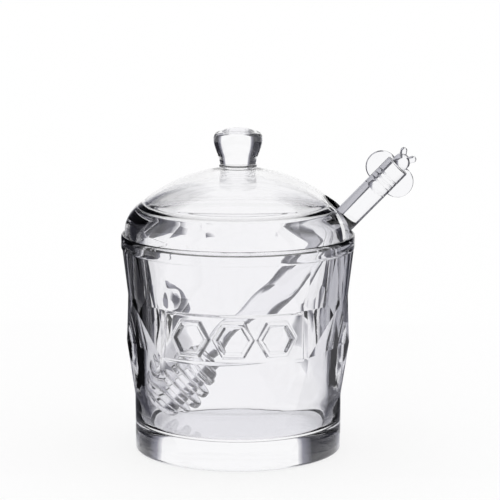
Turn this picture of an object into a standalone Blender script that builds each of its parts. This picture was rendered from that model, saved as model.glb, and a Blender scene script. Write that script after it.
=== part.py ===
"""Honey pot of clear pressed glass: a faceted jar, a lift-off domed lid with its knob
and a notch, and a dipper with a grooved head that leans out through the notch and
ends in a small bee. Metres, +Z up. The origin is the middle of the jar's underside,
the jar's front panel faces -Y, and the dipper leans towards +X."""

import math

import bmesh
import bpy
from mathutils import Matrix, Vector

CLEARANCE = 0.0003
OVERRUN = 0.004
MERGE_DISTANCE = 0.00001
TURN_STEPS = 64
CURVE_STEPS = 4

# Jar: heights of its bands, from the underside up
BASE_HEIGHT = 0.025
LOWER_FACET_HEIGHT = 0.022
PANEL_HEIGHT = 0.0205
FLARE_HEIGHT = 0.0197
BEAD_HEIGHT = 0.0063
BASE_EDGE = 0.0013
RIM_EDGE = 0.0016

# Jar: its radius at the rim, and how far its other bands lie in from there
RIM_RADIUS = 0.050
BEAD_DEPTH = 0.0005
PANEL_INSET = 0.0018
DIAMOND_INSET = 0.0022
WAIST_INSET = 0.0028
FACET_FOOT_INSET = 0.0055
BASE_INSET = 0.0057
CORE_INSET = 0.0068

# Jar: the diamonds round its sides and back
PANEL_HALF_ANGLE = math.radians(40)
DIAMOND_COUNT = 6
WEDGE_HALF_ANGLE = math.radians(5)
ROUND_STEP = math.radians(6)

# Jar: its walls, floor and seat
RIM_WALL = 0.0013
SEAT_WIDTH = 0.0035
SEAT_DEPTH = 0.0022
BASE_WALL = 0.0058
FLOOR_HEIGHT = 0.0112
FLOOR_FILLET = 0.003

# Lid: heights, each from the one before it
LID_FLANGE_HEIGHT = 0.0038
LID_SKIRT_HEIGHT = 0.0114
LID_CEILING_EDGE_RISE = 0.0024
LID_SHOULDER_WALL = 0.0023
LID_DOME_RISE = 0.0140
LID_DOME_WALL = 0.0039
LID_EDGE = 0.0006

# Lid: widths, each inward from the one before it
LID_SHOULDER_INSET = 0.0085
LID_FLANGE_WIDTH = 0.0050
LID_SKIRT_DRAFT = 0.0014
LID_CEILING_EDGE_WIDTH = 0.0035

# Knob: heights, each from the one before it, and radii
KNOB_NECK_HEIGHT = 0.0007
KNOB_COLLAR_HEIGHT = 0.0015
KNOB_SIDE_HEIGHT = 0.0094
KNOB_EDGE_HEIGHT = 0.0040
KNOB_CROWN_HEIGHT = 0.0014
KNOB_COLLAR_RADIUS = 0.0078
KNOB_NECK_INSET = 0.0006
KNOB_SWELL = 0.00265
KNOB_EDGE_WIDTH = 0.00285

# Notch in the lid: an arch that faces outward and up, placed from the lid's shoulder
NOTCH_HALF_WIDTH = 0.0095
NOTCH_TOP_INSET = 0.0025
NOTCH_TOP_RISE = 0.0023
NOTCH_TILT = math.radians(40)
NOTCH_DEPTH = 0.030
NOTCH_REACH = 0.022

# Dipper
DIPPER_LEAN = math.radians(46)
STEM_RADIUS = 0.0051
HEAD_RADIUS = 0.0110
HEAD_TIP_RADIUS = 0.0080
HEAD_CORE_RADIUS = 0.0056
DISC_COUNT = 5
DISC_THICKNESS = 0.0032
DISC_EDGE = 0.0008
GROOVE_WIDTH = 0.0026
NECK_LENGTH = 0.0030

# Bee on the dipper's end: lengths along the stem
STEM_LENGTH = 0.1306
BEE_BODY_LENGTH = 0.0163
BEE_BODY_HALF_WIDTH = 0.0050
BEE_BODY_HALF_DEPTH = 0.0059
BEE_SHOULDER_EDGE = 0.0007
BEE_TAIL_LENGTH = 0.0026
BEE_STRIPE_COUNT = 3
BEE_STRIPE_FIRST = 0.06
BEE_STRIPE_PITCH = 0.19
BEE_STRIPE_WIDTH = 0.0010
BEE_STRIPE_DEPTH = 0.0004
BEE_WING_RADIUS = 0.0068
BEE_WING_THICKNESS = 0.0018
BEE_WING_OFFSET = 0.0047
BEE_WING_PLACE = 0.0110
BEE_HEAD_RADIUS = 0.0034
BEE_HEAD_GAP = 0.0004
BEE_FEELER_RADIUS = 0.00145
BEE_FEELER_LENGTH = 0.0064
BEE_FEELER_SPREAD = math.radians(33)
HEAD_SEGMENTS = 32
BALL_SEGMENTS = 16

# Shares of a curve's width and height at which its two inner control points lie
SHOULDER_SHARES = ((0.0, 0.41), (0.49, 0.79))
DOME_SHARES = ((0.22, 0.43), (0.56, 0.96))
CEILING_EDGE_SHARES = ((0.05, 0.6), (0.4, 0.95))
CEILING_SHARES = ((0.17, 0.38), (0.455, 0.98))
KNOB_TOP_SHARES = ((0.4, 0.0), (0.8, 0.5))
KNOB_SIDE_SHARES = ((0.15, 0.4), (0.95, 0.65))
KNOB_EDGE_SHARES = ((-0.02, 0.66), (0.4, 0.92))
ROUND_OUT_SHARES = ((0.55, 0.0), (1.0, 0.45))
ROUND_DOWN_SHARES = ((0.0, 0.55), (0.45, 1.0))

# Jar: heights and radii that follow
FACET_BOTTOM = BASE_HEIGHT
PANEL_BOTTOM = FACET_BOTTOM + LOWER_FACET_HEIGHT
PANEL_TOP = PANEL_BOTTOM + PANEL_HEIGHT
FLARE_TOP = PANEL_TOP + FLARE_HEIGHT
RIM_HEIGHT = FLARE_TOP + BEAD_HEIGHT
SEAT_HEIGHT = RIM_HEIGHT - SEAT_DEPTH
FLARE_RADIUS = RIM_RADIUS - BEAD_DEPTH
PANEL_RADIUS = RIM_RADIUS - PANEL_INSET
DIAMOND_RADIUS = RIM_RADIUS - DIAMOND_INSET
WAIST_RADIUS = RIM_RADIUS - WAIST_INSET
FACET_FOOT_RADIUS = RIM_RADIUS - FACET_FOOT_INSET
BASE_RADIUS = RIM_RADIUS - BASE_INSET
CORE_RADIUS = RIM_RADIUS - CORE_INSET
FLOOR_RADIUS = BASE_RADIUS - BASE_WALL
SEAT_RADIUS = RIM_RADIUS - RIM_WALL
MOUTH_RADIUS = SEAT_RADIUS - SEAT_WIDTH
DIAMOND_ANGLE = 2 * (math.pi - PANEL_HALF_ANGLE) / DIAMOND_COUNT

# Lid: heights and radii that follow
LID_BASE = SEAT_HEIGHT + CLEARANCE
SKIRT_TOP = LID_BASE + LID_SKIRT_HEIGHT
CEILING_EDGE = SKIRT_TOP + LID_CEILING_EDGE_RISE
SHOULDER_TOP = CEILING_EDGE + LID_SHOULDER_WALL
DOME_TOP = SHOULDER_TOP + LID_DOME_RISE
CEILING_TOP = DOME_TOP - LID_DOME_WALL
LID_RADIUS = SEAT_RADIUS - CLEARANCE
LID_SHOULDER_RADIUS = LID_RADIUS - LID_SHOULDER_INSET
LID_SKIRT_RADIUS = LID_RADIUS - LID_FLANGE_WIDTH
LID_SKIRT_TOP_RADIUS = LID_SKIRT_RADIUS - LID_SKIRT_DRAFT
LID_CEILING_EDGE_RADIUS = LID_SKIRT_TOP_RADIUS - LID_CEILING_EDGE_WIDTH
KNOB_FOOT = DOME_TOP + KNOB_NECK_HEIGHT
KNOB_COLLAR = KNOB_FOOT + KNOB_COLLAR_HEIGHT
KNOB_WIDEST = KNOB_COLLAR + KNOB_SIDE_HEIGHT
KNOB_EDGE = KNOB_WIDEST + KNOB_EDGE_HEIGHT
KNOB_TOP = KNOB_EDGE + KNOB_CROWN_HEIGHT
KNOB_NECK_RADIUS = KNOB_COLLAR_RADIUS - KNOB_NECK_INSET
KNOB_WIDEST_RADIUS = KNOB_COLLAR_RADIUS + KNOB_SWELL
KNOB_EDGE_RADIUS = KNOB_WIDEST_RADIUS - KNOB_EDGE_WIDTH


def clear_scene():
    """Remove every object that the file opened with."""
    for thing in list(bpy.data.objects):
        bpy.data.objects.remove(thing, do_unlink=True)


def new_collection(name):
    group = bpy.data.collections.new(name)
    bpy.context.scene.collection.children.link(group)
    return group


def glass(name, colour, roughness):
    """A clear Principled material."""
    material = bpy.data.materials.new(name)
    material.use_nodes = True
    shader = material.node_tree.nodes["Principled BSDF"]
    shader.inputs["Base Color"].default_value = (*colour, 1)
    shader.inputs["Roughness"].default_value = roughness
    shader.inputs["Metallic"].default_value = 0
    shader.inputs["IOR"].default_value = 1.5
    shader.inputs["Transmission Weight"].default_value = 1
    material.diffuse_color = (*colour, 1)
    return material


def curve(start, end, shares, steps=CURVE_STEPS):
    """Points of a cubic from start to end, without its start. The shares place its
    two inner control points within the width and height between the ends."""
    first = [a + (b - a) * s for a, b, s in zip(start, end, shares[0])]
    second = [a + (b - a) * s for a, b, s in zip(start, end, shares[1])]
    points = []
    for i in range(1, steps + 1):
        t = i / steps
        weights = ((1 - t) ** 3, 3 * t * (1 - t) ** 2, 3 * t * t * (1 - t), t ** 3)
        controls = (start, first, second, end)
        points.append(tuple(sum(w * c[k] for w, c in zip(weights, controls)) for k in (0, 1)))
    return points


def turned(name, outline, group, steps=TURN_STEPS):
    """A solid turned about Z from an outline of (radius, height) that runs down its
    outer side, with both ends on the axis."""
    mesh = bpy.data.meshes.new(name)
    bm = bmesh.new()
    points = [bm.verts.new((radius, 0, height)) for radius, height in outline]
    for a, b in zip(points, points[1:]):
        bm.edges.new((a, b))
    bm.to_mesh(mesh)
    bm.free()
    thing = bpy.data.objects.new(name, mesh)
    group.objects.link(thing)
    screw = thing.modifiers.new("turn", "SCREW")
    screw.steps = steps
    screw.render_steps = steps
    screw.use_merge_vertices = True
    screw.merge_threshold = MERGE_DISTANCE
    screw.use_smooth_shade = True
    return thing


def hull(name, points, group):
    """The convex solid round the points."""
    mesh = bpy.data.meshes.new(name)
    bm = bmesh.new()
    for point in points:
        bm.verts.new(point)
    result = bmesh.ops.convex_hull(bm, input=bm.verts, use_existing_faces=False)
    bmesh.ops.delete(bm, geom=result["geom_interior"], context="VERTS")
    bmesh.ops.recalc_face_normals(bm, faces=bm.faces)
    bm.to_mesh(mesh)
    bm.free()
    thing = bpy.data.objects.new(name, mesh)
    group.objects.link(thing)
    return thing


def combine(target, other, operation):
    """A Boolean on the target, with the other solid kept as a wire guide."""
    step = target.modifiers.new(other.name, "BOOLEAN")
    step.operation = operation
    step.solver = "EXACT"
    step.object = other
    other.hide_render = True
    other.display_type = "WIRE"


def round_point(angle, radius, height):
    """A point of the wall; the angle is taken from the front, towards +X."""
    return Vector((radius * math.sin(angle), -radius * math.cos(angle), height))


def angles_between(start, end):
    """Even angles from start to end, both included, about ROUND_STEP apart."""
    count = max(1, round((end - start) / ROUND_STEP))
    return [start + (end - start) * i / count for i in range(count + 1)]


def ridge_angles():
    """Angles of the diamonds' upright ridges."""
    first = PANEL_HALF_ANGLE + DIAMOND_ANGLE / 2
    return [first + DIAMOND_ANGLE * i for i in range(DIAMOND_COUNT)]


def corner_angles():
    """Angles of the corners where diamonds meet, the panel's two ends included."""
    return [PANEL_HALF_ANGLE + DIAMOND_ANGLE * i for i in range(DIAMOND_COUNT + 1)]


def jar_core(group):
    """The turned bead, base and inner core that the faceted bands lie on."""
    bead_height = RIM_HEIGHT - RIM_EDGE
    outline = [(0, RIM_HEIGHT), (RIM_RADIUS - RIM_EDGE / 2, RIM_HEIGHT)]
    outline += curve(outline[-1], (RIM_RADIUS, bead_height), ROUND_OUT_SHARES, 3)
    outline += [(RIM_RADIUS, FLARE_TOP + RIM_EDGE), (FLARE_RADIUS + CLEARANCE, FLARE_TOP)]
    outline += [(CORE_RADIUS, FLARE_TOP - RIM_EDGE), (CORE_RADIUS, FACET_BOTTOM + BASE_EDGE)]
    outline += [(BASE_RADIUS, FACET_BOTTOM), (BASE_RADIUS, BASE_EDGE)]
    outline += curve(outline[-1], (BASE_RADIUS - BASE_EDGE, 0), ROUND_DOWN_SHARES, 3)
    outline += [(0, 0)]
    return turned("jar", outline, group)


def jar_flare(group):
    """The band under the rim. A narrow wedge stands flat above each diamond."""
    slope = (FLARE_RADIUS - WAIST_RADIUS) / (FLARE_TOP - PANEL_TOP)
    points = [
        round_point(angle, WAIST_RADIUS - slope * OVERRUN, PANEL_TOP - OVERRUN)
        for angle in angles_between(0, 2 * math.pi)[:-1]
    ]
    stops = [-PANEL_HALF_ANGLE - DIAMOND_ANGLE / 2] + ridge_angles()
    for before, after in zip(stops, stops[1:]):
        for angle in angles_between(before + WEDGE_HALF_ANGLE, after - WEDGE_HALF_ANGLE):
            points.append(round_point(angle, FLARE_RADIUS, FLARE_TOP))
    points += [round_point(angle, WAIST_RADIUS, PANEL_TOP) for angle in ridge_angles()]
    return hull("flare_guide", points, group)


def jar_diamonds(group):
    """The band with the front panel and the diamonds: corners that stand out at
    mid-height, between a ring above and a ring below, give folded diamonds."""
    panel = angles_between(-PANEL_HALF_ANGLE, PANEL_HALF_ANGLE)
    points = [round_point(angle, PANEL_RADIUS, PANEL_TOP) for angle in panel]
    points += [round_point(angle, PANEL_RADIUS, PANEL_BOTTOM) for angle in panel]
    points += [
        round_point(angle, DIAMOND_RADIUS, PANEL_BOTTOM) for angle in corner_angles()[1:-1]
    ]
    half = DIAMOND_ANGLE / 2
    for angle in ridge_angles():
        sweep = angles_between(angle - half, angle) + angles_between(angle, angle + half)
        points += [round_point(a, WAIST_RADIUS, PANEL_TOP) for a in sweep]
        points += [round_point(a, FACET_FOOT_RADIUS, FACET_BOTTOM) for a in sweep]
    points += [round_point(angle, FACET_FOOT_RADIUS, FACET_BOTTOM) for angle in panel]
    return hull("diamond_guide", points, group)


def inner_radius(height):
    """Radius of the jar's inner wall at a height above its fillet."""
    share = (height - FLOOR_HEIGHT) / (SEAT_HEIGHT - FLOOR_HEIGHT)
    return FLOOR_RADIUS + (MOUTH_RADIUS - FLOOR_RADIUS) * share


def jar_inside(group):
    """The hollow, with the seat for the lid at its mouth."""
    above = RIM_HEIGHT + OVERRUN
    outline = [(0, above), (SEAT_RADIUS, above), (SEAT_RADIUS, SEAT_HEIGHT)]
    outline += [(MOUTH_RADIUS, SEAT_HEIGHT)]
    fillet_top = FLOOR_HEIGHT + FLOOR_FILLET
    outline += [(inner_radius(fillet_top), fillet_top)]
    outline += curve(outline[-1], (FLOOR_RADIUS - FLOOR_FILLET, FLOOR_HEIGHT), ROUND_DOWN_SHARES)
    outline += [(0, FLOOR_HEIGHT)]
    return turned("hollow_cutter", outline, group)


def build_jar(group, guides):
    jar = jar_core(group)
    combine(jar, jar_flare(guides), "UNION")
    combine(jar, jar_diamonds(guides), "UNION")
    combine(jar, jar_inside(guides), "DIFFERENCE")
    jar.data.materials.append(glass("jar_glass", (0.96, 0.96, 0.98), 0.02))
    return jar


def lid_outline():
    """Outline of the lid and its knob: down the outside, then up the inside."""
    knob_edge = (KNOB_EDGE_RADIUS, KNOB_EDGE)
    knob_widest = (KNOB_WIDEST_RADIUS, KNOB_WIDEST)
    collar = (KNOB_COLLAR_RADIUS, KNOB_COLLAR)
    outline = [(0, KNOB_TOP)]
    outline += curve(outline[-1], knob_edge, KNOB_TOP_SHARES)
    edge = curve(knob_widest, knob_edge, KNOB_EDGE_SHARES)
    outline += edge[-2::-1] + [knob_widest]
    side = curve(collar, knob_widest, KNOB_SIDE_SHARES)
    outline += side[-2::-1] + [collar]
    outline += [(KNOB_COLLAR_RADIUS, KNOB_FOOT + LID_EDGE)]
    outline += [(KNOB_NECK_RADIUS, KNOB_FOOT), (KNOB_NECK_RADIUS, DOME_TOP)]
    shoulder = (LID_SHOULDER_RADIUS, SHOULDER_TOP)
    dome = curve(shoulder, (KNOB_NECK_RADIUS, DOME_TOP), DOME_SHARES, 2 * CURVE_STEPS)
    outline += dome[-2::-1] + [shoulder]
    flange = (LID_RADIUS, LID_BASE + LID_FLANGE_HEIGHT)
    outline += curve(flange, shoulder, SHOULDER_SHARES)[-2::-1] + [flange]
    outline += [(LID_RADIUS, LID_BASE + LID_EDGE), (LID_RADIUS - LID_EDGE, LID_BASE)]
    outline += [(LID_SKIRT_RADIUS, LID_BASE)]
    outline += [(LID_SKIRT_TOP_RADIUS, SKIRT_TOP)]
    ceiling_edge = (LID_CEILING_EDGE_RADIUS, CEILING_EDGE)
    outline += curve(outline[-1], ceiling_edge, CEILING_EDGE_SHARES, 4)
    outline += curve(outline[-1], (0, CEILING_TOP), CEILING_SHARES, 2 * CURVE_STEPS)
    return outline


def notch_cutter(group):
    """An arch that runs along its tilted axis and on down past the lid's edge."""
    axis = Vector((math.cos(NOTCH_TILT), 0, math.sin(NOTCH_TILT)))
    down = Vector((math.sin(NOTCH_TILT), 0, -math.cos(NOTCH_TILT)))
    top = Vector((LID_SHOULDER_RADIUS - NOTCH_TOP_INSET, 0, SHOULDER_TOP + NOTCH_TOP_RISE))
    centre = top + down * NOTCH_HALF_WIDTH
    side = Vector((0, NOTCH_HALF_WIDTH, 0))
    rim = []
    for i in range(2 * CURVE_STEPS + 1):
        turn = math.pi * i / (2 * CURVE_STEPS)
        rim.append(centre + side * math.cos(turn) - down * NOTCH_HALF_WIDTH * math.sin(turn))
    rim += [centre - side + down * NOTCH_REACH, centre + side + down * NOTCH_REACH]
    points = [p + axis * NOTCH_DEPTH / 2 for p in rim] + [p - axis * NOTCH_DEPTH / 2 for p in rim]
    return hull("notch_cutter", points, group)


def build_lid(group, guides):
    lid = turned("lid", lid_outline(), group)
    combine(lid, notch_cutter(guides), "DIFFERENCE")
    lid.data.materials.append(glass("lid_glass", (0.97, 0.97, 0.99), 0.02))
    return lid


def head_outline():
    """Radii and places along the stem, from the tip, of the grooved head."""
    outline = [(0, 0)]
    pitch = DISC_THICKNESS + GROOVE_WIDTH
    for i in range(DISC_COUNT):
        swell = math.sin(math.pi * i / (DISC_COUNT - 1))
        radius = HEAD_TIP_RADIUS + (HEAD_RADIUS - HEAD_TIP_RADIUS) * swell
        foot = pitch * i
        if i:
            outline += [(HEAD_CORE_RADIUS, foot)]
        outline += [(radius - DISC_EDGE, foot), (radius, foot + DISC_EDGE)]
        outline += [(radius, foot + DISC_THICKNESS - DISC_EDGE)]
        outline += [(radius - DISC_EDGE, foot + DISC_THICKNESS)]
        if i < DISC_COUNT - 1:
            outline += [(HEAD_CORE_RADIUS, foot + DISC_THICKNESS)]
    return outline


def dipper_outline():
    """The turned head and stem, from the stem's flat end down to the tip."""
    head = head_outline()
    neck = (STEM_RADIUS, head[-1][1] + NECK_LENGTH)
    shoulder = STEM_LENGTH + BEE_BODY_LENGTH
    outline = [(0, shoulder), (STEM_RADIUS - BEE_SHOULDER_EDGE, shoulder)]
    outline += [(STEM_RADIUS, shoulder - BEE_SHOULDER_EDGE), neck]
    return outline + head[::-1]


def bee_body(group):
    """A barrel with a round tail, wider than the stem at front and back. Its stripes
    lie near the tail, at shares of the barrel's length."""
    shoulder = STEM_LENGTH + BEE_BODY_LENGTH - BEE_SHOULDER_EDGE
    outline = [(0, shoulder), (STEM_RADIUS - BEE_SHOULDER_EDGE, shoulder)]
    tail = STEM_LENGTH + BEE_TAIL_LENGTH
    for i in reversed(range(BEE_STRIPE_COUNT)):
        middle = tail + (shoulder - tail) * (BEE_STRIPE_FIRST + BEE_STRIPE_PITCH * i)
        half = BEE_STRIPE_WIDTH / 2
        outline += [(STEM_RADIUS, middle + half)]
        outline += [(STEM_RADIUS - BEE_STRIPE_DEPTH, middle), (STEM_RADIUS, middle - half)]
    outline += [(STEM_RADIUS, tail)]
    outline += curve(outline[-1], (0, STEM_LENGTH), ROUND_DOWN_SHARES)
    body = turned("bee_body_guide", outline, group, HEAD_SEGMENTS)
    mesh = bpy.data.meshes.new_from_object(
        body.evaluated_get(bpy.context.evaluated_depsgraph_get())
    )
    stretch = Matrix.Diagonal(
        (BEE_BODY_HALF_WIDTH / STEM_RADIUS, BEE_BODY_HALF_DEPTH / STEM_RADIUS, 1, 1)
    )
    mesh.transform(stretch)
    body.modifiers.clear()
    body.data = mesh
    return body


def bee_wing(name, side, group):
    """A thin round wing beside the body, in the plane that the stem leans in."""
    mesh = bpy.data.meshes.new(name)
    bm = bmesh.new()
    place = Vector((side * BEE_WING_OFFSET, 0, STEM_LENGTH + BEE_WING_PLACE))
    bmesh.ops.create_cone(
        bm, cap_ends=True, segments=HEAD_SEGMENTS, radius1=BEE_WING_RADIUS,
        radius2=BEE_WING_RADIUS, depth=BEE_WING_THICKNESS,
        matrix=Matrix.Translation(place) @ Matrix.Rotation(math.pi / 2, 4, "X"),
    )
    bm.to_mesh(mesh)
    bm.free()
    wing = bpy.data.objects.new(name, mesh)
    group.objects.link(wing)
    return wing


def ball(name, place, radius, group):
    mesh = bpy.data.meshes.new(name)
    bm = bmesh.new()
    bmesh.ops.create_uvsphere(
        bm, u_segments=BALL_SEGMENTS, v_segments=BALL_SEGMENTS // 2, radius=radius,
        matrix=Matrix.Translation(place),
    )
    bm.to_mesh(mesh)
    bm.free()
    thing = bpy.data.objects.new(name, mesh)
    group.objects.link(thing)
    return thing


def feeler(name, side, start, group):
    """A short round-ended feeler that leaves the bee's head at an angle."""
    outline = [(0, BEE_FEELER_LENGTH)]
    round_foot = (BEE_FEELER_RADIUS, BEE_FEELER_LENGTH - BEE_FEELER_RADIUS)
    outline += curve(outline[0], round_foot, ROUND_OUT_SHARES, 4)
    outline += [(BEE_FEELER_RADIUS, 0), (0, 0)]
    thing = turned(name, outline, group, BALL_SEGMENTS // 2)
    thing.location = start
    thing.rotation_euler = (0, side * BEE_FEELER_SPREAD, 0)
    return thing


def dipper_seat():
    """Where the tip's centre lies: the stem rests on the mouth's edge, and the head
    comes down until it meets the jar's floor or wall."""
    along = Vector((math.cos(DIPPER_LEAN), 0, math.sin(DIPPER_LEAN)))
    outward = Vector((math.sin(DIPPER_LEAN), 0, -math.cos(DIPPER_LEAN)))
    edge = Vector((MOUTH_RADIUS, 0, SEAT_HEIGHT))
    rest = edge - outward * (STEM_RADIUS + CLEARANCE)
    lowest = -math.inf
    for radius, place in head_outline():
        on_floor = FLOOR_HEIGHT + CLEARANCE - rest.z + radius * -outward.z
        wall = inner_radius(FLOOR_HEIGHT + 2 * radius * -outward.z)
        on_wall = -wall + CLEARANCE - rest.x + radius * outward.x
        lowest = max(lowest, on_floor / along.z - place, on_wall / along.x - place)
    return rest + along * lowest


def build_dipper(group, guides):
    dipper = turned("dipper", dipper_outline(), group, HEAD_SEGMENTS)
    head_place = Vector((0, 0, STEM_LENGTH + BEE_BODY_LENGTH + BEE_HEAD_RADIUS - BEE_HEAD_GAP))
    pieces = [
        bee_body(guides),
        bee_wing("left_wing_guide", -1, guides),
        bee_wing("right_wing_guide", 1, guides),
        ball("bee_head_guide", head_place, BEE_HEAD_RADIUS, guides),
        feeler("left_feeler_guide", -1, head_place, guides),
        feeler("right_feeler_guide", 1, head_place, guides),
    ]
    for piece in pieces:
        piece.parent = dipper
        combine(dipper, piece, "UNION")
    dipper.location = dipper_seat()
    dipper.rotation_euler = (0, math.pi / 2 - DIPPER_LEAN, 0)
    dipper.data.materials.append(glass("dipper_glass", (0.96, 0.96, 0.98), 0.02))
    return dipper


def main():
    clear_scene()
    group = new_collection("honey_pot")
    guides = new_collection("guides")
    build_jar(group, guides)
    build_lid(group, guides)
    build_dipper(group, guides)


main()
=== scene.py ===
import math

import bmesh
import bpy
import numpy as np
from mathutils import Matrix, Vector


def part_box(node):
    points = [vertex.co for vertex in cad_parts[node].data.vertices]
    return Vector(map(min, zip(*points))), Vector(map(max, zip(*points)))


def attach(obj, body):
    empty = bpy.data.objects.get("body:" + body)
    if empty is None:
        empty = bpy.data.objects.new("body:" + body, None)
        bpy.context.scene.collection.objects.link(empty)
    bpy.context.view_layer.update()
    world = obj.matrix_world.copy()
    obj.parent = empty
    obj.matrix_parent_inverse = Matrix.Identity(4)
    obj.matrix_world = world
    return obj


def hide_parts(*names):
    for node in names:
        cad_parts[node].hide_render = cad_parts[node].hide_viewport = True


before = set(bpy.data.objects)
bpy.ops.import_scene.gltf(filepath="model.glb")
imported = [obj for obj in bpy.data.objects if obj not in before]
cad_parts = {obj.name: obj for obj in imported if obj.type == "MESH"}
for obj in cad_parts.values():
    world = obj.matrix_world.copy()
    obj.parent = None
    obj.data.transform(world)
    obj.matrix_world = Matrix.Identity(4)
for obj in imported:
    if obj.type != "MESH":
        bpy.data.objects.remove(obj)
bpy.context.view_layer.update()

# Lengths are in metres and angles in radians. An outline's point is (radius, height).

# Sizes that the frame gives
RIM_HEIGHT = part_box("jar")[1][2]
RIM_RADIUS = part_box("jar")[1][0]
KNOB_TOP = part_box("lid")[1][2]
LID_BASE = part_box("lid")[0][2]

# Jar wall, from the foot up
BASE_RADIUS = 0.0443
BASE_EDGE = 0.0014
FACET_BOTTOM = 0.025
PANEL_BOTTOM = 0.047
PANEL_TOP = 0.0670
FLARE_TOP = 0.0872
FACET_FOOT_RADIUS = 0.0445
DIAMOND_RADIUS = 0.0478
WAIST_RADIUS = 0.0471
DIAMOND_TOP_RADIUS = 0.0488
FLARE_RADIUS = 0.0495
LEDGE = 0.0001
RIM_EDGE = 0.0014
SEAT_RADIUS = 0.0487
SEAT_DEPTH = 0.0022
MOUTH_RADIUS = 0.0452
FLOOR_HEIGHT = 0.0112
FLOOR_RADIUS = 0.0385
FLOOR_FILLET = 0.003
JAR_CREASE = math.radians(55)

# Faceted bands of the jar: their levels, and the rows and columns of their grid
FACET_LEVELS = (FACET_BOTTOM, PANEL_BOTTOM, PANEL_TOP, FLARE_TOP)
FAN_ROWS = 30
PANEL_ROWS = 60
FLARE_ROWS = 14
FRONT_COLUMNS = 180
FACET_COLUMNS = 9
FAN_COLUMNS = 15

# Diamonds, with the fans below and the wedges above them, round the sides and back
PANEL_HALF_ANGLE = math.radians(40)
DIAMOND_COUNT = 6
DIAMOND_ANGLE = 2 * (math.pi - PANEL_HALF_ANGLE) / DIAMOND_COUNT
DIMPLE_RADIUS = 0.0442
WEDGE_HALF_ANGLE = math.radians(4.8)
LEAST_ANGLE = 0.001
LEAST_FAN_SHARE = 0.0001

# Front panel: a raised plate that carries a row of raised six-sided cells
PLATE_HALF_ANGLE = math.radians(37.4)
PLATE_BOTTOM = 0.0466
PLATE_TOP = 0.0668
PLATE_RISE = 0.0009
PLATE_EDGE = 0.0007
PLATE_SIDE = 0.0013
CELL_COUNT = 3
CELL_PITCH = 0.0182
CELL_RADIUS = 0.0064
CELL_WIDTH = 0.0026
CELL_SLOPE = 0.0008
CELL_RISE = 0.0011

# Waves of the inner wall: how fast each turns with the angle and with the height's
# share, and for the swell how fast it turns with that share, and where it starts
WAVE_DEPTH = 0.00045
LONG_WAVE = (7, 9)
LONG_SWELL = (14, 1.0)
SHORT_WAVE = (11, -17)
SHORT_WAVE_SHARE = 0.5
WAVE_FOOT_FADE = 0.024
WAVE_MOUTH_GAP = 0.004
WAVE_MOUTH_FADE = 0.008
WAVE_SIDE_FADE = 0.35

# Lid, with heights from its base, and its knob, with heights from the dome's top
LID_RADIUS = 0.0484
LID_FLANGE_HEIGHT = 0.0038
LID_SHOULDER = (0.0399, 0.0161)
LID_DOME_HEIGHT = 0.0296
LID_EDGE = 0.0008
LID_SKIRT_RADIUS = 0.0434
LID_SKIRT_TOP = (0.0420, 0.0114)
LID_CEILING_EDGE = (0.0385, 0.0138)
LID_CEILING_HEIGHT = 0.0270
LID_COLUMNS = 256
LID_CREASE = math.radians(40)
KNOB_NECK_RADIUS = 0.0063
KNOB_GAP = 0.0003
KNOB_BEAD = (0.0081, 0.0012)
KNOB_COLLAR = (0.0077, 0.0020)
KNOB_WIDEST = (0.01045, 0.0124)
KNOB_EDGE = (0.0076, 0.0161)
NOTCH_HALF_WIDTH = 0.0095
NOTCH_TOP = (0.0374, 0.0184)
NOTCH_TILT = math.radians(40)
NOTCH_DEPTH = 0.030
NOTCH_REACH = 0.022
NOTCH_ARCH_POINTS = 49

# Dipper, with its stem's length taken from the tip
CLEARANCE = 0.0003
DIPPER_LEAN = math.radians(46)
DIPPER_COLUMNS = 96
DIPPER_CREASE = math.radians(35)
STEM_RADIUS = 0.0054
STEM_LENGTH = 0.1301
HEAD_RADIUS = 0.0110
HEAD_TIP_RADIUS = 0.0080
HEAD_CORE_RADIUS = 0.0056
DISC_COUNT = 5
DISC_THICKNESS = 0.0032
DISC_EDGE = 0.0009
GROOVE_WIDTH = 0.0026
NECK_LENGTH = 0.0030

# Bee on the dipper's end. Its body, wings and head are placed from the stem's length.
BEE_BODY_LENGTH = 0.0163
BEE_BODY_HALF_WIDTH = 0.0049
BEE_BODY_HALF_DEPTH = 0.0064
BEE_BODY_ROWS = 105
BEE_SHOULDER_EDGE = 0.0007
BEE_TAIL_ROOT = 0.0020
BEE_TAIL_LENGTH = 0.0050
BEE_STRIPE_COUNT = 3
BEE_STRIPE_FIRST_SHARE = 0.03
BEE_STRIPE_PITCH_SHARE = 0.21
BEE_STRIPE_WIDTH = 0.0006
BEE_STRIPE_DEPTH = 0.00014
BEE_WING_RADIUS = 0.0068
BEE_WING_THICKNESS = 0.0018
BEE_WING_OFFSET = 0.0047
BEE_WING_PLACE = 0.0110
BEE_HEAD_RADIUS = 0.0037
BEE_HEAD_SINK = 0.0018
BEE_HEAD_PLACE = STEM_LENGTH + BEE_BODY_LENGTH + BEE_HEAD_RADIUS - BEE_HEAD_SINK
BEE_HEAD_COLUMNS = 48
BEE_FEELER_RADIUS = 0.00145
BEE_FEELER_LENGTH = 0.0064
BEE_FEELER_SPREAD = math.radians(33)

# Curves: the shares of the width and height between a curve's ends at which its two
# inner control points lie
KNOB_TOP_SHARES = ((0.4, 0.0), (0.8, 0.5))
KNOB_EDGE_SHARES = ((-0.02, 0.66), (0.4, 0.92))
KNOB_SIDE_SHARES = ((0.15, 0.4), (0.95, 0.65))
DOME_SHARES = ((0.22, 0.43), (0.56, 0.96))
SHOULDER_SHARES = ((0.0, 0.41), (0.49, 0.79))
CEILING_EDGE_SHARES = ((0.0, 0.35), (0.55, 0.53))
CEILING_SHARES = ((0.17, 0.38), (0.455, 0.98))
ROUND_OUT_SHARES = ((0.55, 0.0), (1.0, 0.45))
ROUND_DOWN_SHARES = ((0.0, 0.55), (0.45, 1.0))

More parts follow.
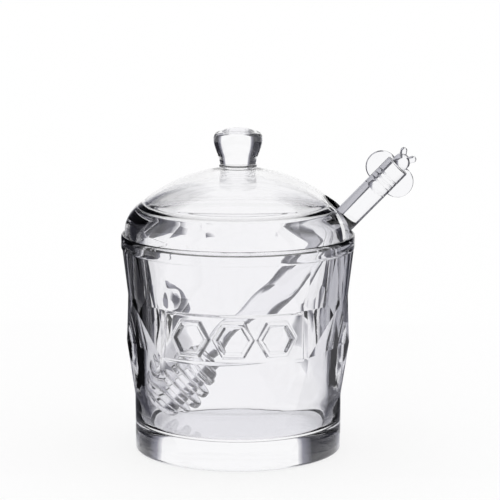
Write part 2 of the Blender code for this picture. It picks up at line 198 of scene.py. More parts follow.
# Glass of each piece: its tint, its tint where the surface turns away, which is painted
# shade that darkens the edges, and the size and height of its waves
GLASSES = {
    "jar": ((0.945, 0.943, 0.957), (0.45, 0.45, 0.52), 0.012, 0.00006),
    "lid": ((0.965, 0.964, 0.972), (0.955, 0.954, 0.966), 0.020, 0.00004),
    "dipper": ((0.940, 0.940, 0.955), (0.45, 0.45, 0.52), 0.008, 0.00003),
}
GLASS_INDEX = 1.5
GLASS_WAVE_ROUGHNESS = 0.45
# Shares of the facing at which the painted edge shade starts and where it is full
EDGE_SHADE_START_SHARE = 0.42
EDGE_SHADE_FULL_SHARE = 0.86

# Camera, fitted to the photograph's view
CAMERA_DISTANCE = 1.0
CAMERA_ROUND = math.radians(2.4)
CAMERA_HEIGHT = 0.257
CAMERA_PITCH = math.radians(9.70)
CAMERA_LENS = 170.8
CAMERA_SHIFT = 0.0239

# Studio floor
WHITE = (1.0, 1.0, 1.0, 1.0)
FLOOR_REACH = 30.0
FLOOR_GAP = 0.0002
FLOOR_WHITE_SHARE = 0.75
PAPER_ROUGHNESS = 0.9

# Studio cards: an edge is the card's side nearest to the pot, and a soft size is the
# width over which the card's shades run
CARD_FAR = 0.50
CARD_FRONT = 0.08
CARD_BACK = 0.27
CARD_STEP = 0.042
CARD_TOP = 0.60
CARD_EDGES = {"left": -0.062, "right": 0.068}
CARD_SOFT = 0.05
HIGH_CARD_EDGES = {"left": -0.112, "right": 0.140}
HIGH_CARD_SOFT = {"left": 0.05, "right": 0.09}
FLOOR_CARD_FRONT = -0.05
FLOOR_CARD_EDGES = {"left": -0.049, "right": 0.049}
FLOOR_CARD_SOFT = 0.06
FRONT_CARD_PLACE = -1.3
FRONT_CARD_TOP = 1.2
PALE = (0.9, 0.9, 0.92)
CARD_SHADES = {
    "left": ((0.0, PALE), (0.3, (0.25, 0.25, 0.30)), (1.0, (0.010, 0.010, 0.018))),
    "right": ((0.0, PALE), (0.3, (0.25, 0.25, 0.30)), (1.0, (0.07, 0.07, 0.09))),
}
FLOOR_SHADES = {
    "left": ((0.0, PALE), (0.3, (0.10, 0.10, 0.13)), (1.0, (0.008, 0.008, 0.014))),
    "right": (
        (0.0, PALE), (0.25, (0.12, 0.12, 0.15)), (0.5, (0.03, 0.03, 0.04)),
        (1.0, (0.50, 0.50, 0.54)),
    ),
}


# Shader maths


class Value:
    """A shader socket that adds Math nodes when it is used in an expression."""

    def __init__(self, graph, socket):
        self.graph = graph
        self.socket = socket

    def _math(self, operation, first, second):
        return self.graph.add(
            "ShaderNodeMath", {"operation": operation}, {0: first, 1: second}
        )

    def __add__(self, other):
        return self._math("ADD", self, other)

    def __radd__(self, other):
        return self._math("ADD", other, self)

    def __mul__(self, other):
        return self._math("MULTIPLY", self, other)

    def __rmul__(self, other):
        return self._math("MULTIPLY", other, self)


class Graph:
    """The node tree of one material or world, with one way to add a node."""

    def __init__(self, owner):
        owner.use_nodes = True
        self.tree = owner.node_tree
        self.tree.nodes.clear()

    def add(self, kind, settings=None, inputs=None, output=0):
        """A node of a kind: its settings are set first, then values or links of its
        sockets. It gives back the output that is asked for."""
        node = self.tree.nodes.new(kind)
        for name, value in (settings or {}).items():
            if name == "stops":
                self._ramp(node.color_ramp, value)
            else:
                setattr(node, name, value)
        for name, value in (inputs or {}).items():
            if isinstance(value, Value):
                self.tree.links.new(value.socket, node.inputs[name])
            else:
                node.inputs[name].default_value = value
        return Value(self, node.outputs[output]) if node.outputs else node

    def _ramp(self, ramp, stops):
        while len(ramp.elements) < len(stops):
            ramp.elements.new(0.5)
        for element, (place, colour) in zip(ramp.elements, stops):
            element.position = place
            element.color = (*colour, 1)


def pressed_glass(name, tint, painted_edge_shade, wave_size, wave_height):
    """Clear pressed glass. Its tint deepens where the surface turns away, a painted shade
    that gives the glass dark edges. A slow noise on the surface gives the soft waves that
    a mould leaves."""
    material = bpy.data.materials.new(name)
    graph = Graph(material)
    place = graph.add("ShaderNodeTexCoord", output="Object")
    waves = graph.add(
        "ShaderNodeTexNoise",
        inputs={"Vector": place, "Scale": 1 / wave_size, "Roughness": GLASS_WAVE_ROUGHNESS},
    )
    bump = graph.add("ShaderNodeBump", inputs={"Height": waves, "Distance": wave_height})
    # Painted shade: the glass's colour darkens where the surface turns away, to draw dark edges
    facing = graph.add("ShaderNodeLayerWeight", output="Facing")
    stops = ((EDGE_SHADE_START_SHARE, tint), (EDGE_SHADE_FULL_SHARE, painted_edge_shade))
    colour = graph.add("ShaderNodeValToRGB", {"stops": stops}, {"Fac": facing})
    shader = graph.add(
        "ShaderNodeBsdfPrincipled",
        inputs={
            "Base Color": colour, "Roughness": 0.0, "IOR": GLASS_INDEX,
            "Transmission Weight": 1.0, "Normal": bump,
        },
    )
    graph.add("ShaderNodeOutputMaterial", inputs={"Surface": shader})
    return material


# Outlines and surfaces


def cubic(start, end, shares, steps):
    """Points of a cubic Bezier curve from start to end, without its start: its two
    inner control points lie at the shares of the width and height between the ends."""
    start, end = np.array(start, float), np.array(end, float)
    first = start + (end - start) * np.array(shares[0])
    second = start + (end - start) * np.array(shares[1])
    t = np.linspace(0, 1, steps + 1)[1:, None]
    return (
        (1 - t) ** 3 * start + 3 * t * (1 - t) ** 2 * first
        + 3 * t**2 * (1 - t) * second + t**3 * end
    )


def straight(start, end, steps):
    """Even points from start to end, without the start."""
    t = np.linspace(0, 1, steps + 1)[1:, None]
    return np.array(start, float) * (1 - t) + np.array(end, float) * t


def path(*stretches):
    """One outline from points and stretches that follow each other."""
    return np.vstack([np.atleast_2d(np.array(s, float)) for s in stretches])


def closed_surface(name, points):
    """A closed surface from a grid of points: each row runs once round, and the first
    and last rows are poles, so each becomes one point with a fan of triangles."""
    rows, columns, _ = points.shape
    vertices = np.vstack([points[0, :1], points[1:-1].reshape(-1, 3), points[-1, :1]])
    inner = 1 + np.arange((rows - 2) * columns).reshape(rows - 2, columns)
    after = np.roll(inner, -1, axis=1)
    quads = np.stack([inner[:-1], after[:-1], after[1:], inner[1:]], axis=-1).reshape(-1, 4)
    last = len(vertices) - 1
    first_fan = np.stack([np.zeros(columns, int), after[0], inner[0]], axis=-1)
    last_fan = np.stack([np.full(columns, last), inner[-1], after[-1]], axis=-1)
    faces = quads.tolist() + first_fan.tolist() + last_fan.tolist()
    mesh = bpy.data.meshes.new(name)
    mesh.from_pydata(vertices.tolist(), [], faces)
    bm = bmesh.new()
    bm.from_mesh(mesh)
    if bm.calc_volume(signed=True) < 0:
        bmesh.ops.reverse_faces(bm, faces=bm.faces)
    bm.to_mesh(mesh)
    bm.free()
    mesh.shade_smooth()
    piece = bpy.data.objects.new(name, mesh)
    bpy.context.scene.collection.objects.link(piece)
    return piece


def round_the_axis(radius, angle, height):
    """Points at a radius and height, turned by an angle from the front round Z."""
    points = np.broadcast_arrays(radius * np.sin(angle), -radius * np.cos(angle), height)
    return np.stack(points, axis=-1)


def turned(name, outline, columns):
    """A surface of revolution: each point of the outline goes round Z."""
    angle = np.linspace(0, 2 * math.pi, columns, endpoint=False)
    return closed_surface(name, round_the_axis(outline[:, 0, None], angle, outline[:, 1, None]))


def cut_or_join(piece, other, operation):
    """The exact Boolean of two closed pieces, kept on the first as a plain mesh."""
    step = piece.modifiers.new("boolean", "BOOLEAN")
    step.operation = operation
    step.solver = "EXACT"
    step.object = other
    bpy.context.view_layer.update()
    depsgraph = bpy.context.evaluated_depsgraph_get()
    mesh = bpy.data.meshes.new_from_object(piece.evaluated_get(depsgraph))
    piece.modifiers.clear()
    piece.data = mesh
    bpy.data.objects.remove(other, do_unlink=True)


def crisp(piece, angle):
    """Smooth shading that breaks where faces meet more sharply than the angle."""
    piece.data.shade_smooth()
    piece.data.set_sharp_from_angle(angle=angle)


def soft_step(distance, width):
    """0 well below zero, 1 well above it, and a smooth S of the given width between."""
    t = np.clip(distance / width + 0.5, 0, 1)
    return t * t * (3 - 2 * t)


# Jar


def edge_line(height):
    """Angle from the ridge, and radius, of the line that bounds each diamond and the
    wedge above it: it runs straight from the diamond's foot out to the corner, back to
    the diamond's top, and out again along the wedge to the rim."""
    half = DIAMOND_ANGLE / 2
    angles = np.array([0, half, 0, WEDGE_HALF_ANGLE])
    radii = np.array([FACET_FOOT_RADIUS, DIAMOND_RADIUS, DIAMOND_TOP_RADIUS, FLARE_RADIUS])
    across = np.interp(height, FACET_LEVELS, radii * np.sin(angles))
    out = np.interp(height, FACET_LEVELS, radii * np.cos(angles))
    away = np.clip(np.arctan2(across, out), LEAST_ANGLE, half - LEAST_ANGLE)
    return away, np.hypot(across, out)


def jar_angles(height):
    """Angles of the columns round the jar, row by row. Columns run evenly over the
    front, and those of each diamond spread and close with its edge lines."""
    front = np.linspace(-PANEL_HALF_ANGLE, PANEL_HALF_ANGLE, FRONT_COLUMNS, endpoint=False)
    edge = edge_line(height)[0][:, None]
    half = DIAMOND_ANGLE / 2
    fan = np.arange(FAN_COLUMNS)[None, :] / FAN_COLUMNS
    facet = np.arange(FACET_COLUMNS)[None, :] / FACET_COLUMNS
    diamond = np.hstack([
        -half + (half - edge) * fan, -edge * (1 - facet),
        edge * facet, edge + (half - edge) * fan,
    ])
    ridges = PANEL_HALF_ANGLE + DIAMOND_ANGLE * (np.arange(DIAMOND_COUNT) + 0.5)
    return np.hstack([np.tile(front, (len(height), 1)), *(diamond + ridge for ridge in ridges)])


def from_ridge(angle):
    """Angle from the nearest ridge of a diamond, on the sides and back."""
    turn = np.mod(angle - PANEL_HALF_ANGLE, DIAMOND_ANGLE)
    return np.abs(turn - DIAMOND_ANGLE / 2)


def chord(angle, start, start_radius, end, end_radius):
    """Radius at an angle of the straight line between two points at one height."""
    span = start_radius * np.sin(angle - start) + end_radius * np.sin(end - angle)
    return start_radius * end_radius * np.sin(end - start) / span


def plain_radius(height):
    """Radius of the round front behind the panel, in straight slopes. The upright
    creases over the diamonds' corners follow it too."""
    radii = (FACET_FOOT_RADIUS, DIAMOND_RADIUS, WAIST_RADIUS, FLARE_RADIUS)
    return np.interp(height, FACET_LEVELS, radii)


def ridge_radius(height):
    """Radius of the line up the middle of a diamond, pressed in at the dimple's level,
    and of the wedge above it."""
    wedge = FLARE_RADIUS * math.cos(WEDGE_HALF_ANGLE)
    radii = (FACET_FOOT_RADIUS, DIMPLE_RADIUS, DIAMOND_TOP_RADIUS, wedge)
    return np.interp(height, FACET_LEVELS, radii)


def fan_radius(away, height):
    """Radius of the fans below the corners: straight lines from a corner down to the
    round ring. At one height they form an arc of a circle that shrinks towards the
    corner."""
    share = (PANEL_BOTTOM - height) / (PANEL_BOTTOM - FACET_BOTTOM)
    t = np.clip(share, LEAST_FAN_SHARE, 1)
    centre = (1 - t) * DIAMOND_RADIUS
    along = centre * np.cos(DIAMOND_ANGLE / 2 - away)
    return along + np.sqrt(np.maximum(along**2 - centre**2 + (t * FACET_FOOT_RADIUS) ** 2, 0))


def side_radius(angle, height):
    """Radius of the sides and back. At each height straight chords run from a
    diamond's ridge to its edge line, and above the corners on to the upright crease
    over the corner, so that every facet comes out flat."""
    away = from_ridge(angle)
    edge, edge_radius = edge_line(height)
    facet = chord(away, 0, ridge_radius(height), edge, edge_radius)
    upper = chord(away, edge, edge_radius, DIAMOND_ANGLE / 2, plain_radius(height))
    outer = np.where(height < PANEL_BOTTOM, fan_radius(away, height), upper)
    return np.where(away < edge, facet, outer)


def cell_ridge(across, up):
    """Height share of a raised six-sided outline, by the distance to its sides."""
    slanted = np.abs(across) * math.cos(math.pi / 6) + np.abs(up) / 2
    reach = np.maximum(slanted, np.abs(up))
    return soft_step(CELL_WIDTH / 2 - CELL_SLOPE / 2 - np.abs(reach - CELL_RADIUS), CELL_SLOPE)


def panel_relief(angle, height):
    """Rise of the front panel: a plate that carries a row of six-sided cells."""
    across = angle * DIAMOND_RADIUS
    middle = (PLATE_BOTTOM + PLATE_TOP) / 2
    half_width = PLATE_HALF_ANGLE * DIAMOND_RADIUS
    half_height = (PLATE_TOP - PLATE_BOTTOM) / 2
    sides = soft_step(half_width - PLATE_SIDE / 2 - np.abs(across), PLATE_SIDE)
    edges = soft_step(half_height - PLATE_EDGE / 2 - np.abs(height - middle), PLATE_EDGE)
    rise = PLATE_RISE * sides * edges
    for i in range(CELL_COUNT):
        place = (i - (CELL_COUNT - 1) / 2) * CELL_PITCH
        rise = rise + CELL_RISE * cell_ridge(across - place, height - middle)
    return rise


def inner_wave(angle, height):
    """Soft waves of the inner wall behind the panel: the sine of a long wave, swelled
    by a sine of the height, plus a share of the sine of a short one. They fade out at
    the mouth, below the panel and at the panel's ends."""
    share = (height - FLOOR_HEIGHT) / (RIM_HEIGHT - FLOOR_HEIGHT)
    swell = np.sin(LONG_SWELL[0] * share + LONG_SWELL[1])
    long_wave = np.sin(LONG_WAVE[0] * angle + LONG_WAVE[1] * share) * swell
    short_wave = np.sin(SHORT_WAVE[0] * angle + SHORT_WAVE[1] * share)
    wave = long_wave + SHORT_WAVE_SHARE * short_wave
    below = soft_step(height - PANEL_BOTTOM, WAVE_FOOT_FADE)
    above = soft_step(FLARE_TOP - WAVE_MOUTH_GAP - height, WAVE_MOUTH_FADE)
    sides = soft_step(PANEL_HALF_ANGLE - np.abs(angle), WAVE_SIDE_FADE)
    return WAVE_DEPTH * below * above * wave * sides


def jar_outline():
    """The jar's outline in its stretches: underside and foot, the faceted bands, of
    which only the heights count, the rim with the lid's seat, the inner wall, and the
    floor."""
    foot_edge = (BASE_RADIUS - BASE_EDGE, 0)
    foot_side = (BASE_RADIUS, BASE_EDGE)
    ledge = (FLARE_RADIUS + LEDGE, FLARE_TOP + LEDGE)
    bead_foot = (RIM_RADIUS, FLARE_TOP + RIM_EDGE)
    bead_top = (RIM_RADIUS, RIM_HEIGHT - RIM_EDGE)
    rim_edge = (RIM_RADIUS - RIM_EDGE / 2, RIM_HEIGHT)
    seat_edge = (SEAT_RADIUS + CLEARANCE, RIM_HEIGHT)
    seat = (SEAT_RADIUS, RIM_HEIGHT - SEAT_DEPTH)
    mouth = (MOUTH_RADIUS, RIM_HEIGHT - SEAT_DEPTH)
    slope = (MOUTH_RADIUS - FLOOR_RADIUS) / (RIM_HEIGHT - SEAT_DEPTH - FLOOR_HEIGHT)
    wall_foot = (FLOOR_RADIUS + slope * FLOOR_FILLET, FLOOR_HEIGHT + FLOOR_FILLET)
    floor_edge = (FLOOR_RADIUS - FLOOR_FILLET, FLOOR_HEIGHT)
    foot = path(
        (0, 0), straight((0, 0), foot_edge, steps=6),
        cubic(foot_edge, foot_side, ROUND_OUT_SHARES, steps=4),
        straight(foot_side, (BASE_RADIUS, FACET_BOTTOM - BASE_EDGE), steps=8),
    )
    bands = path(
        (0, FACET_BOTTOM),
        straight((0, FACET_BOTTOM), (0, PANEL_BOTTOM), FAN_ROWS),
        straight((0, PANEL_BOTTOM), (0, PANEL_TOP), PANEL_ROWS),
        straight((0, PANEL_TOP), (0, FLARE_TOP), FLARE_ROWS),
    )
    rim = path(
        ledge, cubic(ledge, bead_foot, ROUND_OUT_SHARES, steps=3),
        straight(bead_foot, bead_top, steps=3),
        cubic(bead_top, rim_edge, ROUND_DOWN_SHARES, steps=4), seat_edge,
        straight(seat_edge, seat, steps=2), straight(seat, mouth, steps=2),
    )
    wall = straight(mouth, wall_foot, steps=34)
    bottom = path(
        cubic(wall_foot, floor_edge, ROUND_DOWN_SHARES, steps=6),
        straight(floor_edge, (0, FLOOR_HEIGHT), steps=6),
    )
    return foot, bands, rim, wall, bottom


def make_jar():
    """The jar as one grid. Its outline gives height and radius row by row, and the
    rows of the faceted bands and the inner wall vary their radius with the angle. The
    rows past the bands keep the columns of the last band row."""
    foot, bands, rim, wall, bottom = jar_outline()
    rows = np.vstack([foot, bands, rim, wall, bottom])
    band = slice(len(foot), len(foot) + len(bands))
    inside = slice(band.stop + len(rim), band.stop + len(rim) + len(wall))
    spread = rows[:, 1].copy()
    spread[band.stop:] = FLARE_TOP
    angle = jar_angles(spread)
    signed = np.where(angle > math.pi, angle - 2 * math.pi, angle)
    columns = angle.shape[1]
    radius = np.tile(rows[:, 0, None], columns)
    height = np.tile(rows[:, 1, None], columns)
    front = np.arange(columns) < FRONT_COLUMNS
    plain = plain_radius(height[band]) + panel_relief(signed[band], height[band])
    radius[band] = np.where(front, plain, side_radius(angle[band], height[band]))
    radius[inside] += inner_wave(signed[inside], height[inside])
    jar = closed_surface("clear_jar", round_the_axis(radius, angle, height))
    crisp(jar, JAR_CREASE)
    crease_facets(jar, band, columns)
    return jar


def crease_facets(jar, band, columns):
    """Sharp edges along the facets' borders, found by their row and column. A vertex's
    number less one, divided by the columns, gives both."""
    mesh = jar.data
    ends = np.empty(2 * len(mesh.edges), dtype=np.int32)
    sharp = np.empty(len(mesh.edges), dtype=bool)
    mesh.edges.foreach_get("vertices", ends)
    mesh.edges.foreach_get("use_edge_sharp", sharp)
    row, column = np.divmod(ends.reshape(-1, 2) - 1, columns)
    row += 1
    place = (column[:, 0] - FRONT_COLUMNS) % (2 * (FAN_COLUMNS + FACET_COLUMNS))
    borders = np.cumsum([0, FAN_COLUMNS, FACET_COLUMNS, FACET_COLUMNS])
    on_border = np.isin(place, borders) & (column[:, 0] >= FRONT_COLUMNS)
    upright = (on_border | (column[:, 0] == 0)) & (column[:, 0] == column[:, 1])
    upright &= (row.min(axis=1) >= band.start) & (row.max(axis=1) < band.stop)
    rings = band.start + np.cumsum([FAN_ROWS, PANEL_ROWS, FLARE_ROWS])
    level = (row[:, 0] == row[:, 1]) & np.isin(row[:, 0], rings)
    mesh.edges.foreach_set("use_edge_sharp", sharp | upright | level)


# Lid


def lid_outline():
    """Down the outside from the knob's top, then up the inside to the ceiling."""
    dome_top = LID_BASE + LID_DOME_HEIGHT
    knob_edge, widest, collar, bead = (
        (radius, dome_top + height)
        for radius, height in (KNOB_EDGE, KNOB_WIDEST, KNOB_COLLAR, KNOB_BEAD)
    )
    neck = (KNOB_NECK_RADIUS, dome_top + KNOB_GAP)
    dome_foot = (KNOB_NECK_RADIUS, dome_top)
    shoulder, skirt_top, ceiling_edge = (
        (radius, LID_BASE + height)
        for radius, height in (LID_SHOULDER, LID_SKIRT_TOP, LID_CEILING_EDGE)
    )
    flange = (LID_RADIUS, LID_BASE + LID_FLANGE_HEIGHT)
    foot_side = (LID_RADIUS, LID_BASE + LID_EDGE)
    foot = (LID_RADIUS - LID_EDGE, LID_BASE)
    skirt = (LID_SKIRT_RADIUS, LID_BASE)
    ceiling = (0, LID_BASE + LID_CEILING_HEIGHT)

    def upward(start, end, shares, steps):
        """A cubic that is written from its lower end, laid from its upper end down."""
        return np.vstack([cubic(start, end, shares, steps)[-2::-1], start])

    return path(
        (0, KNOB_TOP),
        cubic((0, KNOB_TOP), knob_edge, KNOB_TOP_SHARES, steps=10),
        upward(widest, knob_edge, KNOB_EDGE_SHARES, steps=12),
        upward(collar, widest, KNOB_SIDE_SHARES, steps=16),
        cubic(collar, bead, ROUND_OUT_SHARES, steps=4),
        cubic(bead, neck, ROUND_DOWN_SHARES, steps=6),
        straight(neck, dome_foot, steps=2),
        upward(shoulder, dome_foot, DOME_SHARES, steps=30),
        upward(flange, shoulder, SHOULDER_SHARES, steps=16),
        straight(flange, foot_side, steps=3),
        cubic(foot_side, foot, ROUND_DOWN_SHARES, steps=3),
        straight(foot, skirt, steps=3),
        straight(skirt, skirt_top, steps=8),
        cubic(skirt_top, ceiling_edge, CEILING_EDGE_SHARES, steps=8),
        cubic(ceiling_edge, ceiling, CEILING_SHARES, steps=30),
    )


def notch_cutter():
    """A closed arch: a half circle that runs on into two straight sides, carried along
    the tilted axis of the notch."""
    axis = np.array([math.cos(NOTCH_TILT), 0, math.sin(NOTCH_TILT)])
    down = np.array([math.sin(NOTCH_TILT), 0, -math.cos(NOTCH_TILT)])
    top = np.array([NOTCH_TOP[0], 0, LID_BASE + NOTCH_TOP[1]])
    centre = top + down * NOTCH_HALF_WIDTH
    side = np.array([0, NOTCH_HALF_WIDTH, 0])
    turn = np.linspace(0, math.pi, NOTCH_ARCH_POINTS)[:, None]
    arch = centre + side * np.cos(turn) - down * NOTCH_HALF_WIDTH * np.sin(turn)
    ends = centre + np.array([-1, 1])[:, None] * side + down * NOTCH_REACH
    loop = np.vstack([arch, ends])
    inner, outer = -axis * NOTCH_DEPTH / 2, axis * NOTCH_DEPTH / 2
    middle = np.broadcast_to(loop.mean(axis=0), loop.shape)
    rows = [middle + inner, loop + inner, loop + outer, middle + outer]
    return closed_surface("notch", np.stack(rows))


def make_lid():
    """The lid: its outline turned round Z, less the notch."""
    lid = turned("clear_lid", lid_outline(), LID_COLUMNS)
    cut_or_join(lid, notch_cutter(), "DIFFERENCE")
    crisp(lid, LID_CREASE)
    return lid


# Dipper, upright on its tip until it is laid in the jar


def head_outline():
    """Radii and places along the stem, from the tip, of the grooved head's discs. The
    discs swell by a sine from the tip's radius to the head's and back."""
    outline = [(0, 0)]
    pitch = DISC_THICKNESS + GROOVE_WIDTH
    for i in range(DISC_COUNT):
        swell = math.sin(math.pi * i / (DISC_COUNT - 1))
        radius = HEAD_TIP_RADIUS + (HEAD_RADIUS - HEAD_TIP_RADIUS) * swell
        foot = pitch * i
        top = foot + DISC_THICKNESS
        if i:
            outline.append((HEAD_CORE_RADIUS, foot))
        lower, lower_side = (radius - DISC_EDGE, foot), (radius, foot + DISC_EDGE)
        upper_side, upper = (radius, top - DISC_EDGE), (radius - DISC_EDGE, top)
        outline += [lower, *cubic(lower, lower_side, ROUND_OUT_SHARES, steps=5)]
        outline += [upper_side, *cubic(upper_side, upper, ROUND_DOWN_SHARES, steps=5)]
        if i < DISC_COUNT - 1:
            outline.append((HEAD_CORE_RADIUS, top))
    return path(*outline)


def dipper_outline():
    """From the tip up the grooved head and the stem to its flat end."""
    head = head_outline()
    neck = (STEM_RADIUS, head[-1, 1] + NECK_LENGTH)
    shoulder = STEM_LENGTH + BEE_BODY_LENGTH
    edge = (STEM_RADIUS, shoulder - BEE_SHOULDER_EDGE)
    top = (STEM_RADIUS - BEE_SHOULDER_EDGE, shoulder)
    return path(
        head, cubic(head[-1], neck, ROUND_DOWN_SHARES, steps=6),
        straight(neck, edge, steps=40),
        cubic(edge, top, ROUND_DOWN_SHARES, steps=4), (0, shoulder),
    )


def bee_body():
    """A turned barrel with shallow grooves for stripes and a round tail. Its width is
    drawn in a little and its depth stretched, so that it stands proud of the stem at
    front and back."""
    shoulder = STEM_LENGTH + BEE_BODY_LENGTH - BEE_SHOULDER_EDGE
    tail = STEM_LENGTH + BEE_TAIL_LENGTH
    tail_end = (0, STEM_LENGTH - BEE_TAIL_ROOT)
    top = (STEM_RADIUS - BEE_SHOULDER_EDGE, shoulder + BEE_SHOULDER_EDGE / 2)
    place = np.linspace(tail, shoulder, BEE_BODY_ROWS)
    radius = np.full_like(place, STEM_RADIUS)
    for i in range(BEE_STRIPE_COUNT):
        share = BEE_STRIPE_FIRST_SHARE + BEE_STRIPE_PITCH_SHARE * i
        gap = np.abs(place - (tail + (shoulder - tail) * share))
        radius -= BEE_STRIPE_DEPTH * soft_step(BEE_STRIPE_WIDTH / 4 - gap, BEE_STRIPE_WIDTH / 2)
    outline = path(
        tail_end, cubic(tail_end, (STEM_RADIUS, tail), ROUND_OUT_SHARES, steps=12),
        np.stack([radius, place], axis=-1), top, (0, top[1]),
    )
    body = turned("bee_body", outline, columns=64)
    body.data.transform(Matrix.Diagonal(
        (BEE_BODY_HALF_WIDTH / STEM_RADIUS, BEE_BODY_HALF_DEPTH / STEM_RADIUS, 1, 1)
    ))
    return body


def bee_wing(side):
    """A thin round disc with rounded edges, turned and laid in the leaning plane."""
    half = BEE_WING_THICKNESS / 2
    rim = (BEE_WING_RADIUS, 0)
    lower, upper = (BEE_WING_RADIUS - half, -half), (BEE_WING_RADIUS - half, half)
    outline = path(
        (0, -half), lower, cubic(lower, rim, ROUND_OUT_SHARES, steps=6),
        cubic(rim, upper, ROUND_DOWN_SHARES, steps=6), (0, half),
    )
    wing = turned("bee_wing", outline, columns=96)
    place = Matrix.Translation((side * BEE_WING_OFFSET, 0, STEM_LENGTH + BEE_WING_PLACE))
    wing.data.transform(place @ Matrix.Rotation(math.pi / 2, 4, "X"))
    return wing


def bee_head():
    """A ball on the stem's axis: its outline is a half circle from pole to pole."""
    turn = np.linspace(0, math.pi, BEE_HEAD_COLUMNS // 2 + 1)
    outline = BEE_HEAD_RADIUS * np.stack([np.sin(turn), -np.cos(turn)], axis=-1)
    head = turned("bee_head", outline, BEE_HEAD_COLUMNS)
    head.data.transform(Matrix.Translation((0, 0, BEE_HEAD_PLACE)))
    return head


def bee_feeler(side):
    """A short rod with a round end, tipped to one side of the head."""
    foot_side = (BEE_FEELER_RADIUS, 0)
    round_start = (BEE_FEELER_RADIUS, BEE_FEELER_LENGTH - BEE_FEELER_RADIUS)
    outline = path(
        (0, 0), straight((0, 0), foot_side, steps=2),
        straight(foot_side, round_start, steps=6),
        cubic(round_start, (0, BEE_FEELER_LENGTH), ROUND_DOWN_SHARES, steps=8),
    )
    feeler = turned("bee_feeler", outline, columns=32)
    tip = Matrix.Rotation(side * BEE_FEELER_SPREAD, 4, "Y")
    feeler.data.transform(Matrix.Translation((0, 0, BEE_HEAD_PLACE)) @ tip)
    return feeler


def dipper_place():
    """The dipper's tip and lean: the stem lies on the mouth's edge, and the head comes
    down along the stem until a disc's lower side meets the floor or its upper side
    meets the wall, at the height that this side has with the other on the floor."""
    along = Vector((math.cos(DIPPER_LEAN), 0, math.sin(DIPPER_LEAN)))
    outward = Vector((math.sin(DIPPER_LEAN), 0, -math.cos(DIPPER_LEAN)))
    seat = RIM_HEIGHT - SEAT_DEPTH
    rest = Vector((MOUTH_RADIUS, 0, seat)) - outward * (STEM_RADIUS + CLEARANCE)
    lowest = -math.inf
    slope = (MOUTH_RADIUS - FLOOR_RADIUS) / (seat - FLOOR_HEIGHT)
    for radius, place in head_outline():
        on_floor = FLOOR_HEIGHT + CLEARANCE - rest.z - radius * outward.z
        wall = FLOOR_RADIUS + slope * 2 * radius * abs(outward.z)
        on_wall = CLEARANCE - wall - rest.x + radius * outward.x
        lowest = max(lowest, on_floor / along.z - place, on_wall / along.x - place)
    lean = Matrix.Rotation(math.pi / 2 - DIPPER_LEAN, 4, "Y")
    return Matrix.Translation(rest + along * lowest) @ lean


def make_dipper():
    """The dipper: the turned head and stem, joined with the bee's parts."""
    dipper = turned("clear_dipper", dipper_outline(), DIPPER_COLUMNS)
    bee = (bee_body(), bee_wing(-1), bee_wing(1), bee_head(), bee_feeler(-1), bee_feeler(1))
    for part in bee:
        cut_or_join(dipper, part, "UNION")
    crisp(dipper, DIPPER_CREASE)
    dipper.data.transform(dipper_place())
    return dipper


# Camera and studio


def make_camera():
    """The camera stands in front of the panel, a little to the right of its middle,
    and looks a little down."""
    camera = bpy.data.objects.new("camera", bpy.data.cameras.new("camera"))
    camera.location = (
        CAMERA_DISTANCE * math.sin(CAMERA_ROUND), -CAMERA_DISTANCE * math.cos(CAMERA_ROUND),
        CAMERA_HEIGHT,
    )
    camera.rotation_euler = (math.pi / 2 - CAMERA_PITCH, 0, CAMERA_ROUND)
    camera.data.lens = CAMERA_LENS
    camera.data.shift_x = CAMERA_SHIFT
    bpy.context.scene.collection.objects.link(camera)
    bpy.context.scene.camera = camera


def flat_sheet(name, corners, material):
    """A flat four-sided sheet that belongs to the studio."""
    mesh = bpy.data.meshes.new(name)
    mesh.from_pydata(corners, [], [(0, 1, 2, 3)])
    mesh.materials.append(material)
    sheet = bpy.data.objects.new(name, mesh)
    bpy.context.scene.collection.objects.link(sheet)
    return sheet


def matt(graph, colour):
    """The shader of paper and card, in a colour or in what a socket gives."""
    return graph.add(
        "ShaderNodeBsdfPrincipled",
        inputs={"Base Color": colour, "Roughness": PAPER_ROUGHNESS},
    )


def floor_paper():
    """White paper. For the camera it shines by a share, and glass sees it as white all
    over, so only part of the pot's shadow shows."""
    material = bpy.data.materials.new("floor_paper")
    graph = Graph(material)
    shine = graph.add("ShaderNodeEmission")
    by_camera, by_mirror, by_glass = (
        graph.add("ShaderNodeLightPath", output=ray)
        for ray in ("Is Camera Ray", "Is Singular Ray", "Is Transmission Ray")
    )
    share = by_camera * FLOOR_WHITE_SHARE + by_mirror + by_glass
    surface = graph.add("ShaderNodeMixShader", inputs={0: share, 1: matt(graph, WHITE), 2: shine})
    graph.add("ShaderNodeOutputMaterial", inputs={"Surface": surface})
    return material


def shaded_card(name, axis, start, end, shades):
    """Matt card whose shades run along an axis, from start to end."""
    material = bpy.data.materials.new(name)
    graph = Graph(material)
    place = graph.add("ShaderNodeTexCoord", output="Object")
    along = graph.add("ShaderNodeSeparateXYZ", inputs={"Vector": place}, output=axis)
    share = graph.add(
        "ShaderNodeMapRange", inputs={"Value": along, "From Min": start, "From Max": end}
    )
    colour = graph.add("ShaderNodeValToRGB", {"stops": shades}, {"Fac": share})
    graph.add("ShaderNodeOutputMaterial", inputs={"Surface": matt(graph, colour)})
    return material


def pale_card(name):
    """Matt card in one pale grey."""
    material = bpy.data.materials.new(name)
    graph = Graph(material)
    graph.add("ShaderNodeOutputMaterial", inputs={"Surface": matt(graph, (*PALE, 1))})
    return material


def lay_card(name, corners, material):
    """A card that shows only in reflections and through glass, and throws no shadow."""
    card = flat_sheet(name, corners, material)
    card.visible_camera = False
    card.visible_diffuse = False
    card.visible_shadow = False


def make_surround():
    """An even white surround, which lights the pot from all sides."""
    scene = bpy.context.scene
    scene.view_settings.view_transform = "Standard"
    scene.world = bpy.data.worlds.new("surround")
    graph = Graph(scene.world)
    light = graph.add("ShaderNodeBackground", inputs={"Color": WHITE})
    graph.add("ShaderNodeOutputWorld", inputs={"Surface": light})


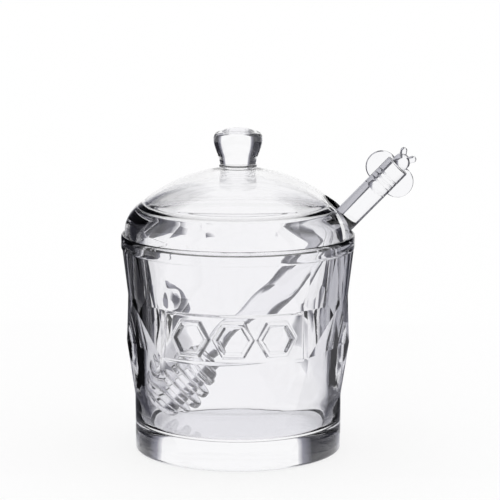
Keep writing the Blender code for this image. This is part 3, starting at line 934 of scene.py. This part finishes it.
def make_floor():
    """A wide white floor, a hair below the jar's underside."""
    signs = ((-1, -1), (1, -1), (1, 1), (-1, 1))
    corners = [(x * FLOOR_REACH, y * FLOOR_REACH, -FLOOR_GAP) for x, y in signs]
    flat_sheet("floor", corners, floor_paper())


def make_cards():
    """Dark cards that give the glass its dark edges. They stand behind the pot, left
    and right of the white that it is seen against, and at its sides, and lie on the
    floor. The low card's edge slants out to the high card's. A pale card stands behind
    the camera."""
    front, back, step, top = CARD_FRONT, CARD_BACK, CARD_STEP, CARD_TOP
    ground_front, ground = FLOOR_CARD_FRONT, FLOOR_GAP
    for side in ("left", "right"):
        edge, high, near = CARD_EDGES[side], HIGH_CARD_EDGES[side], FLOOR_CARD_EDGES[side]
        far, soft, high_soft, near_soft = (
            math.copysign(size, edge)
            for size in (CARD_FAR, CARD_SOFT, HIGH_CARD_SOFT[side], FLOOR_CARD_SOFT)
        )
        for name, corners, axis, start, end, shades in (
            (
                "low_card_",
                [(edge, back, 0), (far, back, 0), (far, back, step), (high, back, step)],
                "X", edge, edge + soft, CARD_SHADES[side],
            ),
            (
                "high_card_",
                [(high, back, step), (far, back, step), (far, back, top), (high, back, top)],
                "X", high, high + high_soft, CARD_SHADES["left"],
            ),
            (
                "side_card_",
                [(far, front, 0), (far, back, 0), (far, back, top), (far, front, top)],
                "Y", front, back, CARD_SHADES[side],
            ),
            (
                "floor_card_",
                [
                    (near, ground_front, ground), (far, ground_front, ground),
                    (far, back, ground), (near, back, ground),
                ],
                "X", near, near + near_soft, FLOOR_SHADES[side],
            ),
        ):
            lay_card(name + side, corners, shaded_card(name + side, axis, start, end, shades))
    y, top = FRONT_CARD_PLACE, FRONT_CARD_TOP
    corners = [(-CARD_FAR, y, 0), (CARD_FAR, y, 0), (CARD_FAR, y, top), (-CARD_FAR, y, top)]
    lay_card("front_card", corners, pale_card("front_card"))


def main():
    """Camera and studio, then the pot's three pieces, each in its own glass."""
    make_camera()
    make_surround()
    make_floor()
    make_cards()
    jar = make_jar()
    lid = make_lid()
    dipper = make_dipper()
    for piece, node in ((jar, "jar"), (lid, "lid"), (dipper, "dipper")):
        piece.data.materials.clear()
        piece.data.materials.append(pressed_glass(node + "_glass", *GLASSES[node]))
        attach(piece, node)
        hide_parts(node)


main()
